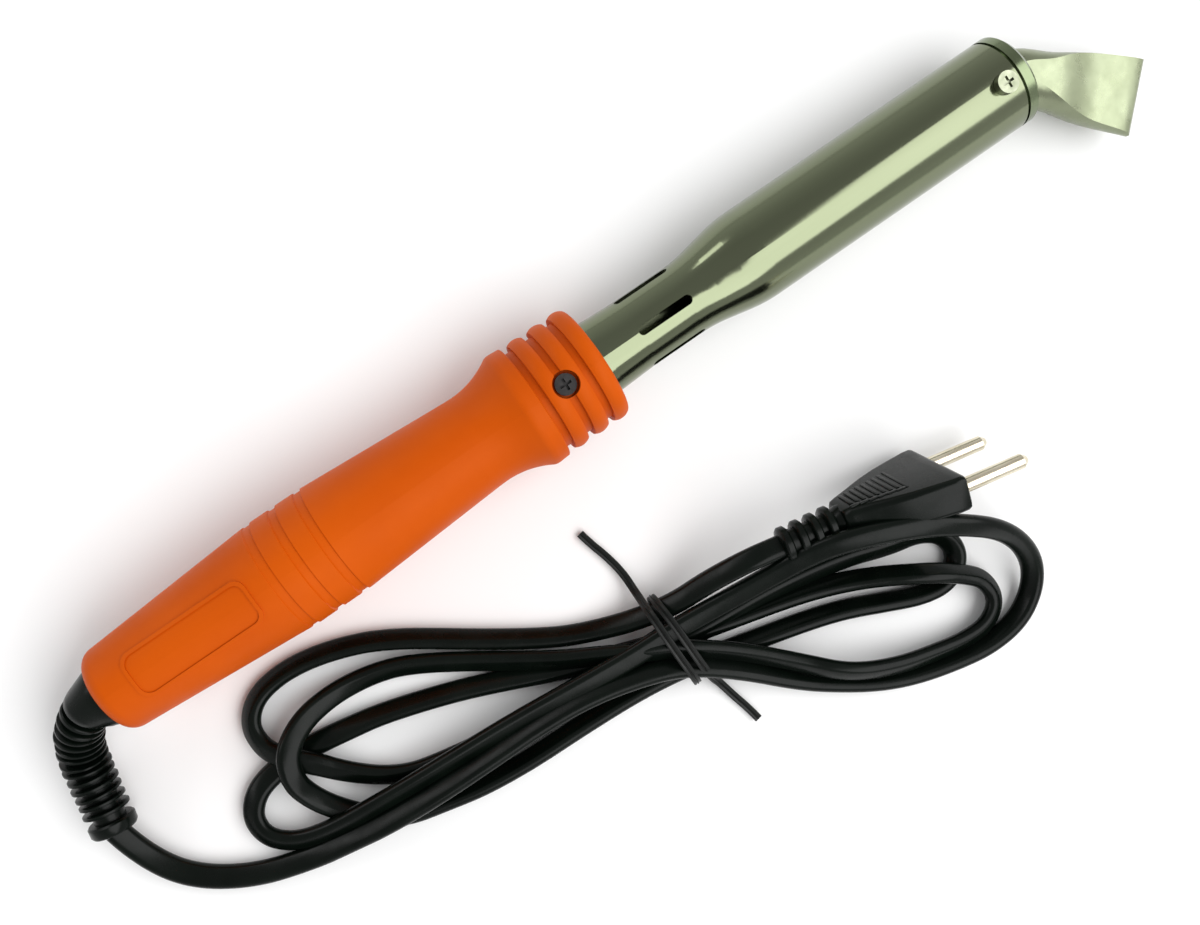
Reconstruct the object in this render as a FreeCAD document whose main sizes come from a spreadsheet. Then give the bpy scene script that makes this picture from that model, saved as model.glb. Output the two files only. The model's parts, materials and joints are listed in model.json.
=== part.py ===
import FreeCAD, Part
import math
import os
import re
import Sketcher

# Soldering iron with a bent chisel tip, a ringed plastic handle and a mains lead.
# Tool frame: +X along the barrel towards the tip, origin on the axis at the handle's rear face.
# Row frame: the tool lies on the floor (z = 0) on its collar and its barrel's front rim.

V = FreeCAD.Vector
doc = FreeCAD.newDocument("SolderingIron")

SIZES = {
    # handle, outer profile from rear to front
    "rear_rim": 8.9, "rear_step": 3.2, "rear_edge": 11.4,
    "groove_first": 49.3, "groove_pitch": 7.3, "groove_width": 2.5, "groove_depth": 0.45,
    "mid_radius": 15.1, "waist_start": 108, "waist_radius": 12.65,
    "sweep_end": 121.3, "sweep_radius": 15.7, "flare_peak": 123.6, "flare_radius": 16.35,
    "flare_end": 126.7, "ring_pitch": 6.15, "ring_gap": 2.05, "ring_radius": 16.1,
    "ring_edge": 15.5, "ring_floor": 14.1, "handle_length": 145.6,
    # handle, bore
    "mouth_radius": 8.3, "mouth_depth": 2.5, "cavity_radius": 9.3, "seat_start": 112.5,
    "seat_radius": 10.2,
    # label frame on the handle
    "label_start": 10, "label_end": 44.5, "label_width": 12.4, "label_rim": 0.9,
    "label_height": 0.3, "label_corner": 3,
    # handle screws
    "screw_place": 134.2, "sink_radius": 3.5, "sink_floor": 12.6, "shank_hole": 1.6,
    "head_radius": 2.75, "head_height": 2, "shank_radius": 1.5, "shank_inner": 7.9,
    "barrel_hole": 1.55, "cross_width": 0.7, "cross_length": 3.2, "cross_depth": 1.2,
    # barrel
    "wall": 0.8, "tail_start": 112.7, "tail_radius": 10.15, "tail_end": 147.5,
    "neck_radius": 9.7, "neck_start": 158, "cone_start": 176.5, "cone_end": 191.5,
    "tube_radius": 12.7, "tube_end": 276.6,
    "cone_blend": 4, "blend_run": 3.92, "blend_rise": 0.7845, "blend_sag": 0.1985,
    "vent_start": 157.3, "vent_end": 173.5, "vent_width": 2.6, "vent_count": 5,
    "tip_screw_place": 271.9, "tip_screw_hole": 1.7,
    # front cap
    "cap_start": 277.4, "cap_end": 281, "cap_bevel": 1, "spigot_start": 273.9,
    "spigot_radius": 11.85, "cap_bore": 7.6,
    # heater
    "core_start": 200, "core_end": 273.7, "core_bore": 7.48, "core_radius": 8.3,
    "heater_start": 204, "heater_end": 266, "mica_inner_radius": 8.6,
    "winding_radius": 9.3, "winding_inset": 2, "mica_outer_radius": 9.7, "wrap_radius": 11.7,
    "layer_gap": 0.05, "ring_start": 268.6, "clamp_radius": 11.8, "thread_hole": 1.55,
    "disc_start": 196.5, "disc_end": 199.8, "disc_radius": 11.7,
    # neck bush, leads and terminal block
    "bush_start": 113.5, "bush_end": 121, "bush_radius": 9.3, "lead_hole": 1.3, "lead_place": 4,
    "lead_start": 76, "lead_end": 202, "lead_radius": 0.5,
    "sleeve_start": 86, "sleeve_end": 196.3, "sleeve_bore": 0.6, "sleeve_radius": 1.2,
    "block_start": 62, "block_length": 22, "block_width": 15, "block_height": 9,
    "terminal_radius": 2, "terminal_bore": 1.15, "terminal_margin": 1, "terminal_clear": 0.05,
    "terminal_screw_inset": 4.5, "terminal_shank": 1, "terminal_head": 1.9,
    "terminal_head_height": 1.2,
    "cord_core_start": 36, "cord_core_end": 61.5, "cord_core_radius": 1.1,
    "copper_end": 72, "copper_radius": 0.7,
    # tip
    "shank_start": 203, "shank_end": 281.2, "tip_radius": 7.4, "tip_screw_clear": 0.06,
    "tip_bevel": 0.6,
    # tip screw
    "tip_head_radius": 2.9, "tip_head_height": 2.3,
    # cord and strain relief
    "cord_radius": 3.1, "cord_clear": 0.08, "relief_radius": 6, "relief_neck": 8.1,
    "relief_flange": 9.1, "relief_flange_start": 2.7, "relief_flange_end": 5,
    "relief_cone": 6.5, "hank_height": 8, "bundle_height": 11.5, "tie_thick": 0.8,
    "tie_width": 2.4,
    # plug, in its own frame: +X along the pins, +Z from pin to pin
    "plug_length": 30, "plug_front_width": 28.5, "plug_front_thick": 9.6,
    "plug_mid_width": 24, "plug_rear_width": 11.5, "plug_rear_thick": 9,
    "plug_round": 1.3, "fin_count": 5, "fin_pitch": 3.4, "fin_thick": 2, "fin_radius": 5,
    "fin_taper": 0.18, "boot_radius": 3.7, "pin_radius": 2, "pin_length": 19,
    "pin_nose": 1.4, "pin_spacing": 19, "pin_root": 8, "pin_root_radius": 1.7, "bridge_width": 24,
    "bridge_start": 4.5, "bridge_length": 4, "bridge_thick": 6,
}

# Route of the cord, chosen by hand along the way it lies; x, y, z in the row frame.
SLEEVE_ROUTE = [(-172.5, 2.5, 12.5), (-176.5, -8, 8.4), (-179.8, -21.5, 6.4)]
LEAD_ROUTE = [
    (-179.8, -21.5, 6.4),
    (-178.75, -30.2, 4.5),
    (-172.5, -42.5, 3.3),
    (-159.5, -51.8, 3.2),
    (-144.0, -56.8, 3.3),
    (-130.6, -59.35, 4.0),
]
TAIL_ROUTE = [
    (-30.2, -56.5, 8.6),
    (-20.3, -56.1, 13.5),
    (-9.1, -56.8, 19.32),
    (-0.47, -58.7, 18.78),
]
# Outer shape of the tied hank, seen from above.
HANK_OUTLINE = [
    (-131.2, -62.6), (-118, -66), (-98, -70.5), (-75, -71.8), (-52, -73), (-38, -76),
    (-27.5, -84.5), (-15, -98), (-7, -103.2), (10.5, -112.8), (22.5, -116.8), (35, -118.6),
    (45.5, -117.5), (53, -113.5), (57.6, -108), (60, -99), (56.5, -89), (47.5, -79.8),
    (33, -71.9), (17.5, -66), (-6, -63.8), (-22.5, -61.2), (-30.5, -60.4), (-30.5, -52.5),
    (-41, -51.3), (-51, -48), (-60, -44.8), (-73.5, -35.5), (-85, -26.5), (-93, -20.6),
    (-102.5, -15), (-113.5, -11.1), (-124, -10), (-133, -11.4), (-138.5, -15),
    (-141.2, -20), (-141.7, -26), (-140.5, -31.5), (-146.5, -32.2), (-151.5, -36),
    (-153.2, -42), (-151.2, -48), (-146, -51.8), (-137.5, -53.8), (-130, -56.1),
]
# The part of the hank where the strands lie on one another.
BUNDLE_OUTLINE = [
    (-98, -69.5), (-75, -70.8), (-52, -72), (-38.5, -74), (-30.5, -71), (-30.5, -52.5),
    (-41, -52.3), (-51, -49), (-60, -45.8), (-73.5, -39), (-98, -45),
]
# The tie's place along x and the centre lines of its two free ends.
TIE_PLACE = -36.5
TIE_TAILS = [
    [(-39.2, -50.6), (-36.4, -42.5), (-37.9, -34.9), (-40, -27.5)],
    [(-36.4, -76.6), (-32, -79.5), (-30.5, -86.8), (-28.9, -95.8)],
]
PLUG_PLACE = V(45.5, -68.8, 15.9)
PLUG_TURN = FreeCAD.Rotation(-12.4, 3.5, 20)

# ---------------------------------------------------------------- spreadsheet

sheet = doc.addObject("Spreadsheet::Sheet", "Sizes")
for row, (alias, number) in enumerate(SIZES.items(), start=1):
    sheet.set(f"A{row}", alias)
    sheet.set(f"B{row}", str(number))
    sheet.setAlias(f"B{row}", alias)
doc.recompute()


def cells(text):
    """An expression with each size's name pointed at the sheet."""
    return re.sub(r"[a-z]\w{2,}", lambda found: "Sizes." + found.group(0), str(text))


def value(text):
    """The number that an expression of sizes gives."""
    return float(sheet.evalExpression(cells(text)))


def bind(thing, **sizes):
    """Bind an object's properties to expressions of sizes."""
    for prop, text in sizes.items():
        thing.setExpression(prop, cells(text))
    return thing


# ------------------------------------------------------------------ placement

# The tool rests on its collar's front ring and on the barrel's front rim.
contact_rear = value("handle_length - 1.2")
contact_front = value("cap_end - cap_bevel")
tilt = math.atan((value("ring_radius") - value("tube_radius")) / (contact_front - contact_rear))
axis_height = value("ring_radius") / math.cos(tilt) + contact_rear * math.sin(tilt)
TOOL_PLACE = V(-157.5, 7.4, axis_height)
REST_ROLL = 7.0
LIE = FreeCAD.Placement(TOOL_PLACE, FreeCAD.Rotation(0, math.degrees(tilt), REST_ROLL))
LIE_PLUG = FreeCAD.Placement(PLUG_PLACE, PLUG_TURN)

# ------------------------------------------------------------ modelling tools

parts = {}


def keep(thing, label, place=LIE):
    """Name a sub-part and lay it in the row frame."""
    thing.Label = label
    thing.Placement = place
    parts[label] = thing
    return thing


def plane(body, role):
    return next(item for item in body.Origin.OriginFeatures if item.Role == role)


def new_sketch(body, name, role):
    sketch = body.newObject("Sketcher::SketchObject", name)
    sketch.AttachmentSupport = [(plane(body, role), "")]
    sketch.MapMode = "FlatFace"
    return sketch


def pin_vertex(sketch, edge, end, name, x_text, y_text):
    """Hold one vertex at two expressions; a zero coordinate sits on the axis."""
    for kind, axis, text in (("DistanceX", -2, x_text), ("DistanceY", -1, y_text)):
        if abs(value(text)) < 1e-9:
            sketch.addConstraint(Sketcher.Constraint("PointOnObject", edge, end, axis))
            continue
        rule = Sketcher.Constraint(kind, -1, 1, edge, end, value(text))
        index = sketch.addConstraint(rule)
        sketch.renameConstraint(index, f"{name}_{kind[-1]}")
        sketch.setExpression(f"Constraints.{name}_{kind[-1]}", cells(text))


def arc_through(start, middle, stop):
    """Arc through three points, running anticlockwise as a sketch wants it."""
    centre = Part.Arc(start, middle, stop).toShape().Curve.Center
    angles = [math.atan2(point.y - centre.y, point.x - centre.x) for point in (start, stop)]
    if (middle - start).cross(stop - middle).z < 0:
        angles.reverse()
    if angles[1] < angles[0]:
        angles[1] += 2 * math.pi
    circle = Part.Circle(centre, V(0, 0, 1), (start - centre).Length)
    return Part.ArcOfCircle(circle, angles[0], angles[1])


def outline(sketch, corners):
    """Closed outline; a corner is (x, y) or (x, y, arc_x, arc_y) where an arc leads on."""
    count = len(corners)
    points = [V(value(corner[0]), value(corner[1]), 0) for corner in corners]
    ends = []
    for index, corner in enumerate(corners):
        start, stop = points[index], points[(index + 1) % count]
        if len(corner) == 4:
            middle = V(value(corner[2]), value(corner[3]), 0)
            arc = arc_through(start, middle, stop)
            edge = sketch.addGeometry(arc, False)
            sketch.addConstraint(Sketcher.Constraint("Radius", edge, arc.Radius))
        else:
            edge = sketch.addGeometry(Part.LineSegment(start, stop), False)
        along = (sketch.Geometry[edge].StartPoint - start).Length < 1e-6
        ends.append((edge, 1 if along else 2, 2 if along else 1))
    for index, corner in enumerate(corners):
        edge, first, last = ends[index]
        after, begin, unused = ends[(index + 1) % count]
        sketch.addConstraint(Sketcher.Constraint("Coincident", edge, last, after, begin))
        pin_vertex(sketch, edge, first, f"p{index}", corner[0], corner[1])
    return sketch


def new_body(name):
    return doc.addObject("PartDesign::Body", name + "_body")


def turned(name, corners):
    """A body turned about the tool axis from its half outline."""
    body = new_body(name)
    sketch = outline(new_sketch(body, name + "_profile", "XZ_Plane"), corners)
    turn = body.newObject("PartDesign::Revolution", name + "_turned")
    turn.Profile = sketch
    turn.ReferenceAxis = (sketch, ["H_Axis"])
    turn.Angle = 360
    turn.Reversed = True
    body.Tip = turn
    doc.recompute()
    return body


def tube(name, start, end, outer, inner):
    """A plain tube along the tool axis."""
    return turned(name, [(start, inner), (end, inner), (end, outer), (start, outer)])


def repeat_round(body, feature, name, count, before):
    """Repeat a cut round the tool axis and check that it removed something."""
    if count > 1:
        pattern = body.newObject("PartDesign::PolarPattern", name + "_round")
        pattern.Originals = [feature]
        pattern.Axis = (plane(body, "X_Axis"), [""])
        pattern.Angle = 360
        pattern.Occurrences = count
        body.Tip = pattern
        doc.recompute()
    if body.Shape.Volume >= before:
        raise RuntimeError(name + " cuts nothing")
    return body


def radial_sink(body, name, place, radius, floor, count):
    """Sink round holes from outside down to a height above the axis."""
    before = body.Shape.Volume
    sketch = new_sketch(body, name + "_circle", "XY_Plane")
    circle = Part.Circle(V(value(place), 0, 0), V(0, 0, 1), value(radius))
    edge = sketch.addGeometry(circle, False)
    sketch.addConstraint(Sketcher.Constraint("PointOnObject", edge, 3, -1))
    for kind, text, data in (("place", place, ("DistanceX", -1, 1, edge, 3)),
                             ("radius", radius, ("Radius", edge))):
        index = sketch.addConstraint(Sketcher.Constraint(*data, value(text)))
        sketch.renameConstraint(index, kind)
        sketch.setExpression("Constraints." + kind, cells(text))
    bind(sketch, **{".AttachmentOffset.Base.z": floor})
    pocket = body.newObject("PartDesign::Pocket", name)
    pocket.Profile = sketch
    pocket.Type = "Length"
    pocket.Length = 30
    pocket.Reversed = True
    body.Tip = pocket
    doc.recompute()
    return repeat_round(body, pocket, name, count, before)


def cylinder(name, radius, start, end, aside="0"):
    """A rod along the tool axis, or beside it."""
    rod = doc.addObject("Part::Cylinder", name)
    rod.Placement.Rotation = FreeCAD.Rotation(V(0, 1, 0), 90)
    bind(rod, Radius=radius, Height=f"({end}) - ({start})")
    return bind(rod, **{".Placement.Base.x": start, ".Placement.Base.y": aside})


def upright(name, radius, low, high, place, aside="0"):
    """A rod standing across the tool axis at a place along it."""
    rod = doc.addObject("Part::Cylinder", name)
    bind(rod, Radius=radius, Height=f"({high}) - ({low})")
    bind(rod, **{".Placement.Base.x": place, ".Placement.Base.y": aside})
    return bind(rod, **{".Placement.Base.z": low})


def box(name, length, width, height, x_text, y_text, z_text):
    block = doc.addObject("Part::Box", name)
    bind(block, Length=length, Width=width, Height=height)
    bind(block, **{".Placement.Base.x": x_text, ".Placement.Base.y": y_text})
    return bind(block, **{".Placement.Base.z": z_text})


def cut(name, base, tools):
    """Base less its tools."""
    joined = tools[0]
    if len(tools) > 1:
        joined = doc.addObject("Part::MultiFuse", name + "_tools")
        joined.Shapes = tools
    result = doc.addObject("Part::Cut", name)
    result.Base = base
    result.Tool = joined
    return result


def fuse(name, pieces):
    result = doc.addObject("Part::MultiFuse", name)
    result.Shapes = pieces
    return result


def group(name, pieces):
    """Separate solids kept in one sub-part."""
    result = doc.addObject("Part::Compound", name)
    result.Links = pieces
    return result


def shaped(name, shape):
    result = doc.addObject("Part::Feature", name)
    result.Shape = shape
    return result


def copies_round(name, source, angles):
    """Copies of a source turned about the tool axis, in one sub-part."""
    pieces = []
    for angle in angles:
        link = doc.addObject("Part::Feature", f"{name}_{angle}")
        link.Shape = source.Shape
        link.Placement = FreeCAD.Placement(V(), FreeCAD.Rotation(V(1, 0, 0), angle))
        pieces.append(link)
    return group(name, pieces)


def rounded_path(points, label):
    """Straight runs joined by tangent arcs as large as their runs allow."""
    edges = []
    last = points[0]
    for index in range(1, len(points) - 1):
        corner = points[index]
        back = points[index - 1] - corner
        ahead = points[index + 1] - corner
        turn = math.pi - back.getAngle(ahead)
        reach = 0.45 * min(back.Length, ahead.Length)
        radius = reach / math.tan(turn / 2)
        print(f"{label} corner {index}: turn {math.degrees(turn):.1f} deg, radius {radius:.1f}")
        back.normalize()
        ahead.normalize()
        enter = corner + back * reach
        leave = corner + ahead * reach
        inward = (back + ahead).normalize()
        middle = corner + inward * (radius / math.cos(turn / 2) - radius)
        edges.append(Part.LineSegment(last, enter).toShape())
        edges.append(Part.Arc(enter, middle, leave).toShape())
        last = leave
    edges.append(Part.LineSegment(last, points[-1]).toShape())
    return Part.Wire(edges)


def pipe(path, radius, label):
    """A round tube along a path, its volume compared with section times length."""
    start = path.Edges[0]
    tangent = start.tangentAt(start.FirstParameter)
    ring = Part.Wire(Part.Circle(start.valueAt(start.FirstParameter), tangent, radius).toShape())
    solid = path.makePipeShell([ring], True, False)
    expected = math.pi * radius ** 2 * path.Length
    print(f"{label}: length {path.Length:.1f}, volume {solid.Volume / expected:.4f} of expected")
    return solid


# --------------------------------------------------------------------- handle


def handle():
    """One-piece grip: taper, three shallow grooves, waist, flare and ringed collar."""
    corners = [("0", "mouth_radius"), ("0", "rear_rim", "rear_step * 0.35", "rear_edge - 0.9"),
               ("rear_step", "rear_edge")]
    for number in range(3):
        start = f"groove_first + {number} * groove_pitch"
        end = f"{start} + groove_width"
        shoulder = "mid_radius - 0.15" if number == 0 else "mid_radius"
        corners += [(start, shoulder), (f"{start} + 0.3", "mid_radius - groove_depth"),
                    (f"{end} - 0.3", "mid_radius - groove_depth"), (end, "mid_radius")]
    corners += [("waist_start", "waist_radius", "(waist_start + sweep_end) / 2 + 1.8", "13.6"),
                ("sweep_end", "sweep_radius", "sweep_end + 0.8", "flare_radius - 0.2"),
                ("flare_peak", "flare_radius"), ("flare_end - 0.3", "ring_radius + 0.05"),
                ("flare_end", "ring_radius - 0.3"), ("flare_end", "ring_floor")]
    for number in range(3):
        start = f"flare_end + ring_gap + {number} * ring_pitch"
        end = f"{start} + ring_pitch - ring_gap"
        corners += [(start, "ring_floor"),
                    (start, "ring_edge", f"{start} + (ring_pitch - ring_gap) / 2", "ring_radius")]
        if number < 2:
            corners += [(end, "ring_edge"), (end, "ring_floor")]
    corners += [("handle_length - 0.6", "ring_edge", "handle_length - 0.15", "ring_edge - 0.5"),
                ("handle_length", "ring_edge - 1.2"), ("handle_length", "seat_radius"),
                ("seat_start", "seat_radius"), ("seat_start", "cavity_radius"),
                ("mouth_depth", "cavity_radius"), ("mouth_depth", "mouth_radius")]
    body = turned("handle", corners)
    radial_sink(body, "handle_sinks", "screw_place", "sink_radius", "sink_floor", 3)
    radial_sink(body, "handle_shank_holes", "screw_place", "shank_hole", "1", 3)
    return keep(fuse("handle_moulding", [body, label_frame()]), "handle")


def label_frame():
    """Thin raised rounded rectangle on top of the grip's rear half."""
    start, end, half = value("label_start"), value("label_end"), value("label_width") / 2
    rim = value("label_rim")
    corner = value("label_corner")

    def plate(inset):
        low = V(start + inset, -half + inset, 5)
        block = Part.makeBox(end - start - 2 * inset, 2 * (half - inset), 15, low)
        corners = [edge for edge in block.Edges if abs(edge.tangentAt(0).z) > 0.9]
        return block.makeFillet(corner - inset / 2, corners)

    slope = (value("mid_radius") - value("rear_edge")) / (value("groove_first") - 3.2)
    skin = value("rear_edge") - slope * 3.2 + value("label_height")
    outer = Part.makeCone(skin, skin + slope * 48, 48, V(), V(1, 0, 0))
    core = Part.makeCone(skin - 1.2, skin - 1.2 + slope * 48, 48, V(), V(1, 0, 0))
    return shaped("label_frame", plate(0).cut(plate(rim)).common(outer.cut(core)))


def cross_screw(name, place, head, floor, height, shank, inner):
    """Pan-head screw pointing at the axis, with a cross recess."""
    top = f"{floor} + {height}"
    pan = upright(name + "_pan", head, floor, top, place)
    stem = upright(name + "_stem", shank, inner, floor, place)
    bars = []
    for index, (long_way, short_way) in enumerate((("cross_length", "cross_width"),
                                                   ("cross_width", "cross_length"))):
        bars.append(box(f"{name}_bar{index}", long_way, short_way, "cross_depth + 1",
                        f"{place} - {long_way} / 2", f"-{short_way} / 2",
                        f"{top} - cross_depth"))
    result = cut(name, fuse(name + "_blank", [pan, stem]), bars)
    doc.recompute()
    return result


def handle_screws():
    """Three screws sunk in the collar, through the barrel's tail."""
    screw = cross_screw("handle_screw", "screw_place", "head_radius", "sink_floor",
                        "head_height", "shank_radius", "shank_inner")
    return keep(copies_round("handle_screw_set", screw, (0, 120, 240)), "handle_screws")


# --------------------------------------------------------------------- barrel


def barrel():
    """Plated tube: tail in the handle, vented neck, soft-edged cone and front tube."""
    body = turned("barrel", [
        ("tail_start", "tail_radius - wall"), ("tail_end", "tail_radius - wall"),
        ("neck_start", "neck_radius - wall"),
        ("cone_start - cone_blend", "neck_radius - wall",
         "cone_start", "neck_radius - wall + blend_sag"),
        ("cone_start + blend_run", "neck_radius - wall + blend_rise"),
        ("cone_end - blend_run", "tube_radius - wall - blend_rise",
         "cone_end", "tube_radius - wall - blend_sag"),
        ("cone_end + cone_blend", "tube_radius - wall"),
        ("tube_end", "tube_radius - wall"), ("tube_end", "tube_radius"),
        ("cone_end + cone_blend", "tube_radius", "cone_end", "tube_radius - blend_sag"),
        ("cone_end - blend_run", "tube_radius - blend_rise"),
        ("cone_start + blend_run", "neck_radius + blend_rise",
         "cone_start", "neck_radius + blend_sag"),
        ("cone_start - cone_blend", "neck_radius"), ("neck_start", "neck_radius"),
        ("tail_end", "tail_radius"), ("tail_start", "tail_radius")])
    radial_sink(body, "tail_holes", "screw_place", "barrel_hole", "1", 3)
    radial_sink(body, "tip_screw_opening", "tip_screw_place", "tip_screw_hole", "1", 1)
    count = int(value("vent_count"))
    vents = [vent(number, 360 / count * number) for number in range(count)]
    return keep(cut("barrel_vented", body, vents), "barrel")


def vent(number, angle):
    """Round-ended slot through one side of the neck."""
    half = "vent_width / 2"
    middle = box(f"vent_middle_{number}", "vent_end - vent_start - vent_width", "vent_width",
                 "15", f"vent_start + {half}", f"-{half}", "0")
    ends = [upright(f"vent_rear_{number}", half, "0", "15", f"vent_start + {half}"),
            upright(f"vent_front_{number}", half, "0", "15", f"vent_end - {half}")]
    slot = fuse(f"vent_{number}", [middle] + ends)
    slot.Placement = FreeCAD.Placement(V(), FreeCAD.Rotation(V(1, 0, 0), angle))
    return slot


def front_cap():
    """Ring that closes the barrel, set off from it by a narrow gap."""
    return keep(turned("front_cap", [
        ("spigot_start", "cap_bore"), ("cap_end", "cap_bore"),
        ("cap_end", "tube_radius - cap_bevel"), ("cap_end - cap_bevel", "tube_radius"),
        ("cap_start", "tube_radius"), ("cap_start", "spigot_radius"),
        ("spigot_start", "spigot_radius")]), "front_cap")


# --------------------------------------------------------------------- heater


def heater():
    """Core tube for the tip, clamp ring, and the wound and wrapped layers."""
    core = tube("heater_core", "core_start", "core_end", "core_radius", "core_bore")
    radial_sink(core, "core_thread", "tip_screw_place", "thread_hole", "1", 1)
    keep(core, "heater_core")
    ring = tube("clamp_ring", "ring_start", "core_end", "clamp_radius",
                "core_radius + layer_gap")
    radial_sink(ring, "ring_thread", "tip_screw_place", "thread_hole", "1", 1)
    keep(ring, "clamp_ring")
    layers = (
        ("mica_inner", "heater_start", "heater_end", "mica_inner_radius", "core_radius"),
        ("heating_winding", "heater_start + winding_inset", "heater_end - winding_inset",
         "winding_radius", "mica_inner_radius"),
        ("mica_outer", "heater_start", "heater_end", "mica_outer_radius", "winding_radius"),
        ("fibre_wrap", "heater_start", "heater_end + 1", "wrap_radius", "mica_outer_radius"))
    for name, start, end, outer, inner in layers:
        keep(tube(name, start, end, outer, inner + " + layer_gap"), name)


def drilled_disc(name, start, end, radius):
    """Ceramic disc with two holes for the leads."""
    blank = cylinder(name + "_blank", radius, start, end)
    holes = [cylinder(f"{name}_hole{side}", "lead_hole", f"{start} - 1", f"{end} + 1",
                      f"{side} * lead_place") for side in (-1, 1)]
    return keep(cut(name + "_drilled", blank, holes), name)


def wiring():
    """Leads, their sleeves, and the insulated cores of the cord, one of each per side."""
    for side, pole in ((-1, "live"), (1, "neutral")):
        place = f"{side} * lead_place"
        keep_moved(cylinder("lead_" + pole, "lead_radius", "lead_start", "lead_end", place),
                   "heater_lead_" + pole)
        outer = cylinder("woven_" + pole, "sleeve_radius", "sleeve_start", "sleeve_end", place)
        inner = cylinder("woven_bore_" + pole, "sleeve_bore", "sleeve_start - 1",
                         "sleeve_end + 1", place)
        keep(cut("woven_sleeve_" + pole, outer, [inner]), "lead_sleeve_" + pole)
        jacket = cylinder("jacket_" + pole, "cord_core_radius", "cord_core_start",
                          "cord_core_end", place)
        copper = cylinder("copper_" + pole, "copper_radius", "cord_core_end", "copper_end", place)
        keep(fuse("core_" + pole, [jacket, copper]), "cord_core_" + pole)


def keep_moved(thing, label):
    """Keep a primitive whose own placement already holds its place in the tool."""
    return keep(group(label + "_single", [thing]), label)


def terminals():
    """Ceramic block with two brass tubes and four screws."""
    blank = box("block_blank", "block_length", "block_width", "block_height",
                "block_start", "-block_width / 2", "-block_height / 2")
    bores, tubes, screws, wells = [], [], [], []
    start = "block_start + terminal_margin"
    end = "block_start + block_length - terminal_margin"
    for side in (-1, 1):
        place = f"{side} * lead_place"
        bores.append(cylinder(f"block_bore{side}", "terminal_radius + terminal_clear",
                              "block_start - 1", "block_start + block_length + 1", place))
        outer = cylinder(f"terminal_outer{side}", "terminal_radius", start, end, place)
        inner = cylinder(f"terminal_inner{side}", "terminal_bore", f"{start} - 1",
                         f"{end} + 1", place)
        tubes.append(cut(f"terminal_tube{side}", outer, [inner]))
        for along in (0, 1):
            inset = "terminal_screw_inset" if along == 0 else "block_length - terminal_screw_inset"
            spot = f"block_start + {inset}"
            top = "block_height / 2"
            stem = upright(f"terminal_stem{side}{along}", "terminal_shank",
                           "terminal_radius + terminal_clear", top, spot, place)
            head = upright(f"terminal_cap{side}{along}", "terminal_head", top,
                           f"{top} + terminal_head_height", spot, place)
            screws.append(fuse(f"terminal_screw{side}{along}", [stem, head]))
            wells.append(upright(f"block_well{side}{along}", "terminal_shank + terminal_clear",
                                 "0", f"{top} + 1", spot, place))
    keep(cut("block_drilled", blank, bores + wells), "terminal_block")
    keep(group("terminal_tube_pair", tubes), "terminal_tubes")
    keep(group("terminal_screw_set", screws), "terminal_screws")


# ------------------------------------------------------------------------ tip

# Stations of the bent bar: x, y of the centre, heading in degrees, half width,
# half height of the forged flats and half their width.
TIP_STATIONS = [
    (281.2, 0.0, 0, 7.3, 7.2, 1.2), (284.6, -1.6, -24, 7.35, 6.85, 2.6),
    (288.4, -4.9, -38, 7.45, 6.4, 3.9), (292.6, -8.5, -40, 8.0, 5.5, 6.2),
    (297.2, -12.6, -42, 8.9, 4.0, 8.2), (303.0, -17.7, -44, 9.9, 2.8, 9.4),
    (310.1, -24.0, -45, 10.6, 1.4, 10.3),
]


def soldering_tip():
    """Round shank, bent and forged to a wide chisel with two flat faces."""
    rings = [forged_section(*station) for station in TIP_STATIONS]
    bar = Part.makeLoft(rings, True, False)
    shank = Part.makeCylinder(value("tip_radius"), value("shank_end - shank_start"),
                              V(value("shank_start"), 0, 0), V(1, 0, 0))
    forging = shank.fuse(bar).cut(bevel_wedge(1)).cut(bevel_wedge(-1))
    return keep(shaped("tip_forging", forging), "soldering_tip")


def forged_section(x_place, y_place, heading, half, rise, flat):
    """Closed section of the bar: two level flats joined by bulging sides."""
    side_turn = FreeCAD.Rotation(V(0, 0, 1), heading)

    def point(across, up):
        return V(x_place, y_place, 0) + side_turn.multVec(V(0, across, up))

    return Part.Wire([
        Part.LineSegment(point(-flat, rise), point(flat, rise)).toShape(),
        Part.Arc(point(flat, rise), point(half, 0), point(flat, -rise)).toShape(),
        Part.LineSegment(point(flat, -rise), point(-flat, -rise)).toShape(),
        Part.Arc(point(-flat, -rise), point(-half, 0), point(-flat, rise)).toShape()])


def bevel_wedge(side):
    """Wedge that takes one long edge off the chisel's end, at 45 degrees."""
    end_x, end_y, heading, half, rise, flat = TIP_STATIONS[-1]
    bevel = value("tip_bevel")
    top, bottom = rise + 0.65 * bevel, rise - 1.35 * bevel
    across = -half - 1
    corners = [V(-1.5 * bevel, across, side * top), V(0.5 * bevel, across, side * bottom),
               V(0.5 * bevel, across, side * top)]
    wedge = Part.Face(Part.makePolygon(corners + corners[:1])).extrude(V(0, -2 * across, 0))
    wedge.Placement = FreeCAD.Placement(V(end_x, end_y, 0),
                                        FreeCAD.Rotation(V(0, 0, 1), heading))
    return wedge


def tip_screw():
    """Screw that passes barrel and clamp ring and bears on the tip's shank."""
    screw = cross_screw("clamp_screw", "tip_screw_place", "tip_head_radius",
                        "tube_radius + tip_screw_clear", "tip_head_height", "shank_radius",
                        "tip_radius + tip_screw_clear")
    return keep(screw, "tip_screw")


# ----------------------------------------------------------------------- cord


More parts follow.
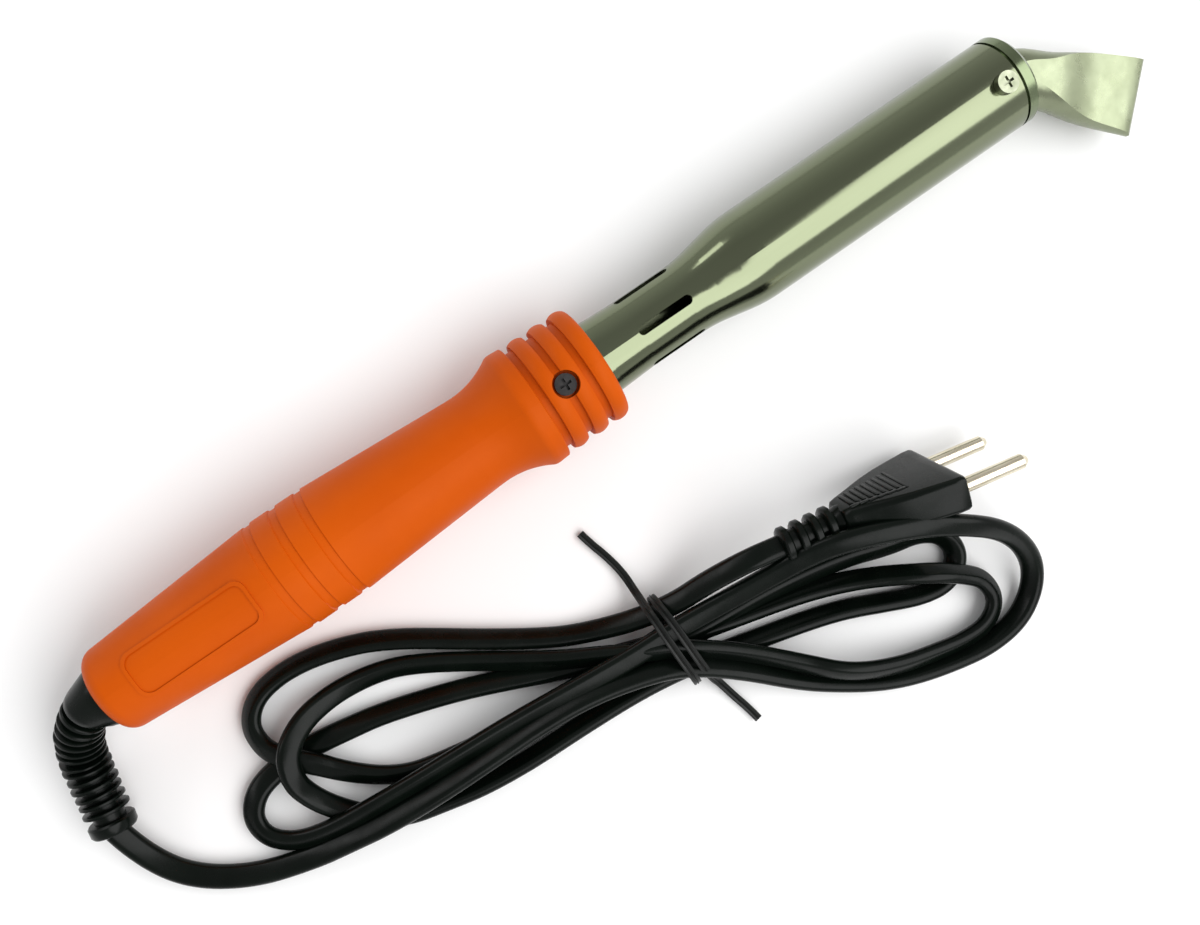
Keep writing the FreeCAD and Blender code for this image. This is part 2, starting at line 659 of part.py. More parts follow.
def strain_relief_and_sheath():
    """Rubber sleeve held in the handle's mouth, and the cord's sheath inside it."""
    inside = LIE.multVec(V(value("cord_core_start") - 1, 0, 0))
    mouth = LIE.multVec(V(0, 0, 0))
    corner = LIE.multVec(V(-value("relief_cone"), 0, 0))
    bends = [V(*point) for point in SLEEVE_ROUTE]
    bore = value("cord_radius + cord_clear")
    sleeve_path = rounded_path([mouth, corner] + bends, "strain relief")
    sheath_path = rounded_path([inside, corner] + bends, "cord sheath")
    sleeve = pipe(sleeve_path, value("relief_radius"), "strain relief")
    throat = turned("relief_throat", [
        ("-relief_cone", "0"), ("relief_flange_end", "0"),
        ("relief_flange_end", "relief_flange"), ("relief_flange_start", "relief_flange"),
        ("relief_flange_start", "relief_neck"), ("0", "relief_neck"),
        ("-relief_cone", "relief_radius")])
    throat.Placement = LIE
    hollow_path = rounded_path([inside, corner] + bends, "strain relief bore")
    hollow = pipe(hollow_path, bore, "strain relief bore")
    solid = throat.Shape.fuse(sleeve).cut(hollow).removeSplitter()
    keep(shaped("relief_moulding", solid), "strain_relief", FreeCAD.Placement())
    sheath = pipe(sheath_path, value("cord_radius"), "cord sheath")
    keep(shaped("sheath_inside", sheath), "cord_sheath", FreeCAD.Placement())


def free_cord():
    """Tubes from the strain relief to the hank and from the hank to the plug."""
    for name, route in (("cord_lead", LEAD_ROUTE), ("cord_tail", TAIL_ROUTE)):
        path = rounded_path([V(*point) for point in route], name)
        solid = pipe(path, value("cord_radius"), name)
        keep(shaped(name + "_tube", solid), name, FreeCAD.Placement())


def slab(name, points, height):
    """A flat closed solid on the floor, of an outline seen from above."""
    body = new_body(name)
    sketch = new_sketch(body, name + "_outline", "XY_Plane")
    count = len(points)
    for index, point in enumerate(points):
        following = points[(index + 1) % count]
        sketch.addGeometry(Part.LineSegment(V(*point, 0), V(*following, 0)), False)
    for index in range(count):
        after = (index + 1) % count
        sketch.addConstraint(Sketcher.Constraint("Coincident", index, 2, after, 1))
        sketch.addConstraint(Sketcher.Constraint("Block", index))
    pad = body.newObject("PartDesign::Pad", name + "_pad")
    pad.Profile = sketch
    bind(pad, Length=height)
    body.Tip = pad
    doc.recompute()
    return body


def hank_and_tie():
    """Outer shape of the tied cord, and the flat tie round its waist with two free ends."""
    loops = slab("hank_loops", HANK_OUTLINE, "hank_height")
    bundle = slab("hank_bundle", BUNDLE_OUTLINE, "bundle_height")
    hank = fuse("hank_solid", [loops, bundle])
    doc.recompute()
    keep(hank, "cord_hank", FreeCAD.Placement())
    thick, width = value("tie_thick"), value("tie_width")
    low = V(TIE_PLACE - width / 2, -76.8, 0)
    band = Part.makeBox(width, 25.4, value("bundle_height") + thick, low).cut(hank.Shape)
    pieces = [band]
    for tail in TIE_TAILS:
        for first, second in zip(tail, tail[1:]):
            start, end = V(*first, 0), V(*second, 0)
            way = (end - start).normalize()
            side = V(-way.y, way.x, 0) * (width / 2)
            face = Part.Face(Part.makePolygon([start - side, start + side, end + side,
                                               end - side, start - side]))
            pieces.append(face.extrude(V(0, 0, thick)))
            pieces.append(Part.makeCylinder(width / 2, thick, end))
    tie = pieces[0].multiFuse(pieces[1:]).cut(hank.Shape).removeSplitter()
    keep(shaped("tie_strip", tie), "cord_tie", FreeCAD.Placement())


# ----------------------------------------------------------------------- plug


def plug():
    """Moulded two-pin plug: tapered body, ridged boot, pins and their bridge."""
    length = value("plug_length")
    sections = []
    for along, width, thick in ((0, "plug_front_width", "plug_front_thick"),
                                (-0.45 * length, "plug_mid_width", "plug_front_thick"),
                                (-length, "plug_rear_width", "plug_rear_thick")):
        half_wide, half_thick = value(width) / 2, value(thick) / 2
        corners = [V(along, -half_thick, -half_wide), V(along, half_thick, -half_wide),
                   V(along, half_thick, half_wide), V(along, -half_thick, half_wide)]
        sections.append(Part.makePolygon(corners + corners[:1]))
    shell = Part.makeLoft(sections, True, False)
    long_edges = [edge for edge in shell.Edges if edge.BoundBox.XLength > 0.3 * length]
    shell = shell.makeFillet(value("plug_round"), long_edges)
    boot_end = -length - value("fin_count * fin_pitch")
    boot = Part.makeCylinder(value("boot_radius"), -boot_end - length + 2,
                             V(boot_end, 0, 0), V(1, 0, 0))
    shell = shell.fuse(boot)
    for number in range(int(value("fin_count"))):
        radius = value("fin_radius") - value("fin_taper") * number
        place = -length - value("fin_pitch") * (number + 0.4) - value("fin_thick")
        fin = Part.makeCylinder(radius, value("fin_thick"), V(place, 0, 0), V(1, 0, 0))
        shell = shell.fuse(fin)
    offset = value("pin_spacing") / 2
    pins, roots = [], []
    for side in (-1, 1):
        face = V(0, 0, side * offset)
        straight = value("pin_length - pin_nose")
        rod = Part.makeCylinder(value("pin_radius"), straight, face, V(1, 0, 0))
        nose = Part.makeCone(value("pin_radius"), value("pin_radius") - 1, value("pin_nose"),
                             face + V(straight, 0, 0), V(1, 0, 0))
        root = Part.makeCylinder(value("pin_root_radius"), value("pin_root"),
                                 face - V(value("pin_root"), 0, 0), V(1, 0, 0))
        pins.append(rod.fuse([nose, root]).removeSplitter())
        roots.append(root)
    bridge_low = V(-value("bridge_start + bridge_length"), -value("bridge_thick") / 2,
                   -value("bridge_width") / 2)
    bridge = Part.makeBox(value("bridge_length"), value("bridge_thick"), value("bridge_width"),
                          bridge_low)
    common = bridge.common(shell)
    for root in roots:
        shell = shell.cut(root)
        common = common.cut(root)
    shell = shell.cut(common).removeSplitter()
    keep(shaped("plug_moulding", shell), "plug_body", LIE_PLUG)
    keep(shaped("plug_pin_pair", Part.makeCompound(pins)), "plug_pins", LIE_PLUG)
    keep(shaped("plug_bridge", common), "pin_bridge", LIE_PLUG)


# ---------------------------------------------------------------------- build

handle()
handle_screws()
barrel()
front_cap()
heater()
drilled_disc("heater_end_disc", "disc_start", "disc_end", "disc_radius")
drilled_disc("neck_bush", "bush_start", "bush_end", "bush_radius")
wiring()
terminals()
soldering_tip()
tip_screw()
strain_relief_and_sheath()
free_cord()
hank_and_tie()
plug()
doc.recompute()

for item in doc.Objects:
    if "Invalid" in item.State or "Error" in item.State:
        raise RuntimeError(f"{item.Name} failed: {item.State}")
for label, thing in parts.items():
    shape = thing.Shape
    if shape.isNull() or not shape.isValid() or not shape.Solids:
        raise RuntimeError(f"{label} has no valid solid")

os.makedirs("parts", exist_ok=True)
for label, thing in parts.items():
    thing.Shape.exportStep(f"parts/{label}.step")
    limits = thing.Shape.BoundBox
    print(f"{label}: {len(thing.Shape.Solids)} solid(s), volume {thing.Shape.Volume:.0f}, "
          f"x {limits.XMin:.1f}..{limits.XMax:.1f}, y {limits.YMin:.1f}..{limits.YMax:.1f}, "
          f"z {limits.ZMin:.2f}..{limits.ZMax:.2f}")
print(f"tilt {math.degrees(tilt):.3f} deg, axis height at the rear {axis_height:.3f}")
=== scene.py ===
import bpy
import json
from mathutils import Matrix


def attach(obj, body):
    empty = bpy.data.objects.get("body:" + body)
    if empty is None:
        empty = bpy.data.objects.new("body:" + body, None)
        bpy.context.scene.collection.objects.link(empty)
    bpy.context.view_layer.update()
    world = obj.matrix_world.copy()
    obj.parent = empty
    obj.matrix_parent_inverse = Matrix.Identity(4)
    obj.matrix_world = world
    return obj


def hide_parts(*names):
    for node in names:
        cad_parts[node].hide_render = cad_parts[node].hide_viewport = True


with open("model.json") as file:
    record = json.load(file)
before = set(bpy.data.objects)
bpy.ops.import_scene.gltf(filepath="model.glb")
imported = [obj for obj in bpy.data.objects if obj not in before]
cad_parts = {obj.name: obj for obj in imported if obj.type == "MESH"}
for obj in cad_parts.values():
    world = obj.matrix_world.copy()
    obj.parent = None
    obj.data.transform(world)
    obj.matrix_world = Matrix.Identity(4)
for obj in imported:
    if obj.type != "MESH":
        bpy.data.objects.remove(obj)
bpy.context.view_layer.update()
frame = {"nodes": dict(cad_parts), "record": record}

import json
import math
import random

import bmesh
import bpy
from mathutils import Matrix, Vector

MM = 0.001
ROUND_SIDES = 40
random.seed(7)
nodes = frame["nodes"]
scene = bpy.context.scene


# ---------------------------------------------------------------- small tools


def point(x, y, z):
    """A point given in millimetres."""
    return Vector((x, y, z)) * MM


def turn_about(yaw, pitch, roll):
    """Turn by roll about X, then pitch about Y, then yaw about Z, in degrees."""
    return (Matrix.Rotation(math.radians(yaw), 4, "Z")
            @ Matrix.Rotation(math.radians(pitch), 4, "Y")
            @ Matrix.Rotation(math.radians(roll), 4, "X"))


# Places of the tool's axis, at the handle's rear face, and of the plug's front face.
TOOL = Matrix.Translation(point(-157.5, 7.4, 19.7246)) @ turn_about(0, 1.4363, 7)
PLUG = Matrix.Translation(point(45.5, -68.8, 15.9)) @ turn_about(-12.4, 3.5, 20)


def add_object(name, mesh, smooth_angle=35):
    """Link a mesh as an object, smooth but for its sharp edges."""
    mesh.polygons.foreach_set("use_smooth", [True] * len(mesh.polygons))
    mesh.set_sharp_from_angle(angle=math.radians(smooth_angle))
    mesh.update()
    thing = bpy.data.objects.new(name, mesh)
    scene.collection.objects.link(thing)
    return thing


def spline_points(name, controls, resolution):
    """Points along the order-3 NURBS spline of the given control points, in metres."""
    curve = bpy.data.curves.new(name + "_line", "CURVE")
    curve.dimensions = "3D"
    line = curve.splines.new("NURBS")
    line.points.add(len(controls) - 1)
    for slot, control in zip(line.points, controls):
        slot.co = (*[value * MM for value in control], 1)
    line.order_u = 3
    line.use_endpoint_u = True
    line.resolution_u = resolution
    holder = bpy.data.objects.new(name + "_line", curve)
    scene.collection.objects.link(holder)
    bpy.context.view_layer.update()
    drawn = bpy.data.meshes.new_from_object(holder)
    points = [vertex.co.copy() for vertex in drawn.vertices]
    bpy.data.objects.remove(holder)
    bpy.data.meshes.remove(drawn)
    bpy.data.curves.remove(curve)
    return points


def lengths_along(points):
    """Distance from the start at each point."""
    total = [0.0]
    for first, second in zip(points, points[1:]):
        total.append(total[-1] + (second - first).length)
    return total


def tangent_at(points, index):
    """Direction of the line at one of its points."""
    before = points[max(index - 1, 0)]
    after = points[min(index + 1, len(points) - 1)]
    return (after - before).normalized()


def skin_rings(work, rings):
    """Join rings of vertices with quads, and close both ends."""
    for first, second in zip(rings, rings[1:]):
        count = len(first)
        for index in range(count):
            after = (index + 1) % count
            work.faces.new((first[index], first[after], second[after], second[index]))
    work.faces.new(list(reversed(rings[0])))
    work.faces.new(rings[-1])


def finish_mesh(work, name):
    """Turn the faces outwards and make the mesh."""
    bmesh.ops.recalc_face_normals(work, faces=work.faces)
    mesh = bpy.data.meshes.new(name)
    work.to_mesh(mesh)
    work.free()
    return mesh


# ------------------------------------------------------------------ materials


def new_material(name):
    """An empty material, its node tree and its shader."""
    material = bpy.data.materials.new(name)
    material.use_nodes = True
    tree = material.node_tree
    shader = tree.nodes["Principled BSDF"]
    return material, tree, shader


def noise(tree, scale, detail=4, stretch=(1, 1, 1), roughness=0.55):
    """Noise in the object's own coordinates, scale in cycles per metre."""
    place = tree.nodes.new("ShaderNodeTexCoord")
    mapping = tree.nodes.new("ShaderNodeMapping")
    mapping.inputs["Scale"].default_value = stretch
    texture = tree.nodes.new("ShaderNodeTexNoise")
    texture.inputs["Scale"].default_value = scale
    texture.inputs["Detail"].default_value = detail
    texture.inputs["Roughness"].default_value = roughness
    tree.links.new(place.outputs["Object"], mapping.inputs["Vector"])
    tree.links.new(mapping.outputs["Vector"], texture.inputs["Vector"])
    return texture.outputs["Fac"]


def ramp(tree, source, low, high, start=0.3, end=0.7):
    """A colour ramp between two colours or two grey levels."""
    node = tree.nodes.new("ShaderNodeValToRGB")
    tree.links.new(source, node.inputs["Fac"])
    for element, place, value in zip(node.color_ramp.elements, (start, end), (low, high)):
        element.position = place
        element.color = (*value, 1) if isinstance(value, tuple) else (value, value, value, 1)
    return node.outputs["Color"]


def bump(tree, shader, height, strength, distance):
    """Add a bump on top of any bump the shader already has."""
    node = tree.nodes.new("ShaderNodeBump")
    node.inputs["Strength"].default_value = strength
    node.inputs["Distance"].default_value = distance * MM
    tree.links.new(height, node.inputs["Height"])
    if shader.inputs["Normal"].is_linked:
        tree.links.new(shader.inputs["Normal"].links[0].from_socket, node.inputs["Normal"])
    tree.links.new(node.outputs["Normal"], shader.inputs["Normal"])


def surface(name, dark, light, rough, metallic=0.0, scale=60, grain=900, grain_depth=0.02,
            stretch=(1, 1, 1), **sockets):
    """General surface: mottled colour, uneven roughness and a fine grain."""
    material, tree, shader = new_material(name)
    shader.inputs["Metallic"].default_value = metallic
    colour = ramp(tree, noise(tree, scale, 5, stretch), dark, light)
    tree.links.new(colour, shader.inputs["Base Color"])
    roughness = ramp(tree, noise(tree, scale * 2.3, 4, stretch), rough[0], rough[1])
    tree.links.new(roughness, shader.inputs["Roughness"])
    bump(tree, shader, noise(tree, grain, 3, stretch), 0.5, grain_depth)
    for socket, value in sockets.items():
        shader.inputs[socket.replace("_", " ")].default_value = value
    return material


def handle_plastic():
    """Satin orange plastic: fine moulded grain, faint flow clouds and small scuffs."""
    material = surface("handle_plastic", (0.50, 0.068, 0.0004), (0.57, 0.084, 0.0008),
                       (0.46, 0.60), scale=28, grain=1600, grain_depth=0.03)
    tree = material.node_tree
    shader = tree.nodes["Principled BSDF"]
    shader.inputs["Specular IOR Level"].default_value = 0.16
    shader.inputs["Specular Tint"].default_value = (1.0, 0.72, 0.45, 1)
    bump(tree, shader, noise(tree, 140, 2), 0.35, 0.06)
    return material


def plated_steel(name, dark, light, rough):
    """Drawn and plated tube: lengthwise die lines, fine cross scratches, cloudy spots."""
    material = surface(name, dark, light, rough, metallic=1.0, scale=45, grain=700,
                       grain_depth=0.004, stretch=(0.06, 1, 1))
    tree = material.node_tree
    shader = tree.nodes["Principled BSDF"]
    bump(tree, shader, noise(tree, 260, 3, (1.6, 0.25, 0.25)), 0.25, 0.006)
    bump(tree, shader, noise(tree, 34, 2, (0.5, 1, 1)), 0.3, 0.05)
    return material


MATERIALS = {
    "handle_plastic": handle_plastic(),
    "barrel_steel": plated_steel("barrel_steel", (0.148, 0.168, 0.104), (0.196, 0.218, 0.142),
                                 (0.10, 0.19)),
    "cap_steel": plated_steel("cap_steel", (0.13, 0.16, 0.09), (0.20, 0.24, 0.145), (0.16, 0.28)),
    "screw_black": surface("screw_black", (0.010, 0.010, 0.010), (0.03, 0.028, 0.028),
                           (0.3, 0.5), metallic=0.6, scale=300),
    "screw_steel": surface("screw_steel", (0.20, 0.22, 0.15), (0.34, 0.36, 0.27),
                           (0.25, 0.4), metallic=1.0, scale=300),
    "tip_plate": surface("tip_plate", (0.21, 0.235, 0.150), (0.27, 0.30, 0.20),
                         (0.24, 0.36), metallic=1.0, scale=110, grain=500,
                         grain_depth=0.012),
    "cord_pvc": surface("cord_pvc", (0.0010, 0.0022, 0.0014), (0.0030, 0.0052, 0.0036),
                        (0.20, 0.32), scale=70, grain=420, grain_depth=0.03,
                        Specular_IOR_Level=0.14),
    "tie_pvc": surface("tie_pvc", (0.004, 0.005, 0.0045), (0.010, 0.011, 0.010),
                       (0.35, 0.5), scale=200, grain=600, grain_depth=0.08,
                       Specular_IOR_Level=0.25),
    "pin_nickel": surface("pin_nickel", (0.62, 0.56, 0.42), (0.78, 0.72, 0.58),
                          (0.16, 0.28), metallic=1.0, scale=150, grain=900,
                          grain_depth=0.008),
    "brass": surface("brass", (0.55, 0.40, 0.16), (0.72, 0.55, 0.26), (0.22, 0.36),
                     metallic=1.0, scale=200),
    "ceramic": surface("ceramic", (0.72, 0.70, 0.64), (0.86, 0.84, 0.79), (0.6, 0.8),
                       scale=200, grain_depth=0.08),
    "mica": surface("mica", (0.42, 0.33, 0.20), (0.66, 0.56, 0.38), (0.2, 0.45), scale=120),
    "resistance_wire": surface("resistance_wire", (0.16, 0.15, 0.14), (0.32, 0.30, 0.28),
                               (0.4, 0.6), metallic=0.9, scale=500, stretch=(6, 1, 1)),
    "glass_fibre": surface("glass_fibre", (0.70, 0.69, 0.64), (0.88, 0.87, 0.82),
                           (0.7, 0.9), scale=700, grain=1500, grain_depth=0.2),
    "core_insulation": surface("core_insulation", (0.03, 0.09, 0.30), (0.05, 0.13, 0.40),
                               (0.35, 0.5), scale=150),
    "inner_plastic": surface("inner_plastic", (0.62, 0.61, 0.57), (0.74, 0.73, 0.69),
                             (0.4, 0.6), scale=150),
}


def finish_piece(thing, material, body="iron", replaced=()):
    """Give a piece its material, and let it ride on its body."""
    thing.data.materials.clear()
    thing.data.materials.append(MATERIALS[material])
    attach(thing, body)
    if replaced:
        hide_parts(*replaced)
    return thing


for entry in frame["record"]["subparts"]:
    carried = nodes[entry["node"]]
    carried.data.materials.clear()
    carried.data.materials.append(MATERIALS[entry["material_slot"]])
    carried.data.polygons.foreach_set("use_smooth", [True] * len(carried.data.polygons))
    carried.data.set_sharp_from_angle(angle=math.radians(30))

# ----------------------------------------------------------------------- cord

# Stretches of the cord's route, in millimetres: twist of the flat section in degrees
# (0 lies flat, 90 stands on its edge), then the control points.
STRETCHES = [
    (25, [(-179.8, -21.5, 6.4), (-178.75, -30.2, 4.5), (-172.5, -42.5, 3.0),
          (-159.5, -51.8, 2.9), (-144.0, -56.8, 3.2), (-134, -58.3, 5.2)]),
    (38, [(-123, -59.8, 8.0), (-108, -61, 8.6), (-91, -61.5, 8.8), (-77, -61.7, 8.8),
          (-63, -63, 8.8), (-49, -66.5, 8.6), (-37.5, -71, 8.4), (-26, -80.5, 6.4)]),
    (50, [(-14, -93.5, 3.3), (-5, -100.6, 3.0), (3, -106, 3.0), (12, -110.3, 3.0),
          (23, -113.6, 3.0), (34, -115.8, 3.0), (44.4, -115, 3.0), (52, -110.4, 4.0),
          (55.4, -103.6, 7.4), (54.2, -95.6, 12.6), (49.6, -88.2, 18.0)]),
    (18, [(42.2, -81.6, 22.6), (30.7, -73.6, 25.4), (14.6, -66.8, 23.6), (4.9, -64.5, 20.4),
          (-7, -63.8, 16.4), (-20, -63.0, 12.6), (-34, -61.8, 10.2), (-47, -61.4, 9.5),
          (-61, -60, 9)]),
    (42, [(-81, -57.7, 8.4), (-98.6, -56.3, 8.4), (-112.5, -55.3, 8.2), (-127.5, -54, 7.2),
          (-138.6, -52.9, 4.2), (-146.4, -50.4, 3.1), (-151.4, -45.4, 3.0),
          (-151.6, -38.9, 3.0)]),
    (8, [(-146.6, -33.9, 2.8), (-138.6, -32.4, 2.2), (-134, -32.4, 2.0),
         (-127, -33, 2.2)]),
    (40, [(-118, -34.6, 2.8), (-109, -36.4, 2.9), (-92, -42, 2.9), (-80, -47, 2.9),
          (-64, -54.4, 3.0), (-48, -60.5, 3.1), (-34, -65.4, 3.2), (-19, -69.4, 3.1),
          (-2, -74, 3.0), (10, -78.4, 3.4), (19, -82.6, 5.2), (27, -87.2, 7.6),
          (33, -91, 7.6), (38.5, -95.4, 5.4)]),
    (52, [(43.2, -100.4, 3.6), (42.8, -107.2, 3.1), (36.6, -111, 3.3), (28.4, -110.6, 3.8),
          (19.6, -108.2, 4.8), (11, -105.4, 6.4), (2, -101, 7.8), (-4.5, -96.4, 7.8),
          (-10.5, -90, 6.4), (-23, -77, 7.2), (-35, -67.2, 8.8), (-45, -61.8, 9.0)]),
    (42, [(-53, -57, 7.2), (-62, -52.4, 5.4), (-73, -45.2, 4.0), (-84, -37.6, 3.2),
          (-95, -30.6, 3.0), (-102.5, -27.2, 3.0), (-111.5, -25.2, 3.2)]),
    (16, [(-119.5, -24.8, 4.4), (-127, -26, 7.2), (-133.6, -30.2, 9.4),
          (-136.4, -37, 8.4)]),
    (45, [(-135.8, -43, 5.2), (-133, -49.2, 3.1), (-127.2, -56.4, 3.0), (-118.5, -62, 3.0),
          (-109, -64.4, 3.0), (-98.5, -67, 3.0), (-84.6, -68.6, 3.0), (-68, -69.2, 3.0),
          (-50, -70.4, 3.0), (-35, -73, 3.0), (-17, -77.8, 3.0), (-3, -81.6, 3.0),
          (7, -85, 3.0), (17, -89.8, 2.8), (26.4, -94.2, 2.6), (34.6, -95.4, 2.6),
          (41.2, -91.2, 2.8), (41.2, -84.2, 3.0), (35.2, -79.8, 3.1), (27, -78.2, 3.2),
          (14, -73.4, 3.4), (-5, -69.6, 3.8), (-22, -67.8, 4.4), (-38, -66.6, 3.6),
          (-60, -63, 3.0), (-85, -59.2, 3.0), (-107, -55, 3.0), (-114, -52.4, 3.0),
          (-120.4, -48, 3.0), (-126, -42.4, 3.7)]),
    (12, [(-130, -37, 5.2), (-133.4, -33.2, 5.9), (-136.8, -29.6, 5.2)]),
    (45, [(-139.2, -25, 3.5), (-138.8, -18.8, 3.0), (-133.4, -13.8, 3.0),
          (-124.4, -12.5, 3.0), (-114.5, -14, 3.0),
          (-103.6, -17.8, 3.0), (-95, -22.6, 3.0), (-87, -28.2, 3.0), (-75, -37, 3.0),
          (-61, -46.4, 3.0), (-51, -51, 3.4), (-41, -54.4, 5.4)]),
    (20, [(-30.2, -56.5, 8.6), (-20.3, -56.1, 13.5), (-9.1, -56.8, 19.32),
          (-0.47, -58.7, 18.78), (3.4, -59.6, 18.5)]),
]
CORD_WIDTH = 6.2
CORD_THICK = 3.7
GROOVE_DEPTH = 0.24
GROOVE_WIDTH = 0.7
SECTION_SIDES = 24
TWIST_REACH = 14
CORD_EXIT = STRETCHES[0][1][0]
ROUTE = [spot for twist, spots in STRETCHES for spot in spots]
TWISTS = [twist for twist, spots in STRETCHES for spot in spots]


def flat_section():
    """Section of a flat twin cord: two round lobes and a shallow groove between them."""
    lobe = CORD_THICK / 2
    offset = CORD_WIDTH / 2 - lobe
    ring = []
    for step in range(SECTION_SIDES):
        angle = 2 * math.pi * (step + 0.5) / SECTION_SIDES
        side = 1 if math.cos(angle) > 0 else -1
        across = side * offset + lobe * math.cos(angle)
        groove = GROOVE_DEPTH * math.exp(-(across / GROOVE_WIDTH) ** 2)
        ring.append((across * MM, (lobe - groove) * math.sin(angle) * MM))
    return ring


def twist_along(count):
    """Twist of the section at each of count points, eased from stretch to stretch."""
    raw = []
    for index in range(count):
        place = index / (count - 1) * (len(TWISTS) - 1)
        low = int(place)
        high = min(low + 1, len(TWISTS) - 1)
        raw.append(TWISTS[low] + (TWISTS[high] - TWISTS[low]) * (place - low))
    eased = []
    for index in range(count):
        near = raw[max(index - TWIST_REACH, 0):index + TWIST_REACH + 1]
        eased.append(math.radians(sum(near) / len(near)))
    return eased


def sweep_cord(name, points):
    """Flat twin section carried along the route, turned by its twist."""
    section = flat_section()
    twists = twist_along(len(points))
    work = bmesh.new()
    rings = []
    for index, centre in enumerate(points):
        ahead = tangent_at(points, index)
        level = ahead.cross(Vector((0, 0, 1))).normalized()
        rise = level.cross(ahead).normalized()
        wide = level * math.cos(twists[index]) + rise * math.sin(twists[index])
        thick = wide.cross(ahead)
        rings.append([work.verts.new(centre + wide * a + thick * b) for a, b in section])
    skin_rings(work, rings)
    return add_object(name, finish_mesh(work, name), 50)


cord_points = spline_points("cord", ROUTE, 10)
cord_run = finish_piece(sweep_cord("cord_run", cord_points), "cord_pvc",
                        replaced=("cord_lead", "cord_hank", "cord_tail"))

# -------------------------------------------------------------- strain relief

FIN_START = 12.4
FIN_PITCH = 2.45
FIN_END_GAP = 4.2
FIN_CORE = 3.95
FIN_RADIUS = 6.0
END_RING = 3.6
UPRIGHT = (0, 0)


def round_sweep(name, points, profile):
    """Solid of round section along points; profile gives distance, radius in mm and lean."""
    along = lengths_along(points)
    work = bmesh.new()
    rings = []
    side = None
    for distance, radius, lean in profile:
        spot = distance * MM
        index = max(i for i, total in enumerate(along) if total <= spot + 1e-9)
        index = min(index, len(points) - 2)
        share = (spot - along[index]) / (along[index + 1] - along[index])
        centre = points[index].lerp(points[index + 1], share)
        ahead = tangent_at(points, index).lerp(tangent_at(points, index + 1), share)
        ahead.normalize()
        if side is None:
            side = ahead.cross(Vector((0, 0, 1))).normalized()
        side = (side - ahead * side.dot(ahead)).normalized()
        other = ahead.cross(side)
        ring = []
        for step in range(ROUND_SIDES):
            angle = 2 * math.pi * step / ROUND_SIDES
            way = side * math.cos(angle) + other * math.sin(angle)
            way = way + ahead * (lean[0] * math.cos(angle) + lean[1] * math.sin(angle))
            ring.append(work.verts.new(centre + way * radius * MM))
        rings.append(ring)
    skin_rings(work, rings)
    return add_object(name, finish_mesh(work, name), 40)


def fin_profile(count):
    """Thin, slightly uneven fins that stand on a thinner core."""
    profile = []
    for number in range(count):
        base = FIN_START + number * FIN_PITCH + random.uniform(-0.12, 0.12)
        radius = FIN_RADIUS + random.uniform(-0.22, 0.12)
        thick = random.uniform(1.0, 1.3)
        lean = (random.uniform(-0.05, 0.05), random.uniform(-0.05, 0.05))
        profile += [(base, FIN_CORE, lean), (base + 0.08, radius - 0.3, lean),
                    (base + 0.3, radius, lean), (base + thick - 0.3, radius, lean),
                    (base + thick - 0.08, radius - 0.3, lean),
                    (base + thick, FIN_CORE, lean)]
    return profile


relief_line = spline_points("relief", [
    tuple(TOOL @ point(5, 0, 0) / MM), tuple(TOOL @ point(0, 0, 0) / MM),
    tuple(TOOL @ point(-6.5, 0, 0) / MM), (-172.5, 2.5, 12.5), (-176.5, -8, 8.4),
    CORD_EXIT], 24)
relief_length = lengths_along(relief_line)[-1] / MM


def relief_profile():
    """Smooth collar, fins, and the ring that ends the sleeve: distance, radius and lean."""
    collar = [(0.1, 8.1), (5, 8.15), (5.6, 8.1), (7.6, 7.4), (10.2, 6.3), (11.2, 6.0),
              (11.5, 5.6)]
    ring_start = relief_length - END_RING
    ring = [(ring_start, 4.0), (ring_start + 0.1, 5.5), (ring_start + 0.6, 5.95),
            (relief_length - 0.9, 5.9), (relief_length - 0.2, 5.4),
            (relief_length - 0.02, 3.6)]
    fins = int((relief_length - FIN_START - FIN_END_GAP) / FIN_PITCH)
    return ([(distance, radius, UPRIGHT) for distance, radius in collar]
            + fin_profile(fins)
            + [(distance, radius, UPRIGHT) for distance, radius in ring])


relief_sleeve = finish_piece(round_sweep("relief_sleeve", relief_line, relief_profile()),
                             "cord_pvc", replaced=("strain_relief",))

# ------------------------------------------------------------------------ tie


def sweep_strip(name, points, width, thick):
    """Flat strip whose width stays across the bundle's length."""
    work = bmesh.new()
    rings = []
    outline = [(-0.5, -0.3), (-0.36, -0.5), (-0.12, -0.34), (0, -0.75), (0.12, -0.34),
               (0.36, -0.5), (0.5, -0.3), (0.5, 0.3), (0.36, 0.5), (0.12, 0.34), (0, 0.75),
               (-0.12, 0.34), (-0.36, 0.5), (-0.5, 0.3)]
    for index, centre in enumerate(points):
        ahead = tangent_at(points, index)
        wide = Vector((1, 0, 0)) - ahead * ahead.x
        wide.normalize()
        thick_way = ahead.cross(wide)
        rings.append([work.verts.new(centre + wide * a * width * MM + thick_way * b * thick * MM)
                      for a, b in outline])
    skin_rings(work, rings)
    return add_object(name, finish_mesh(work, name), 30)


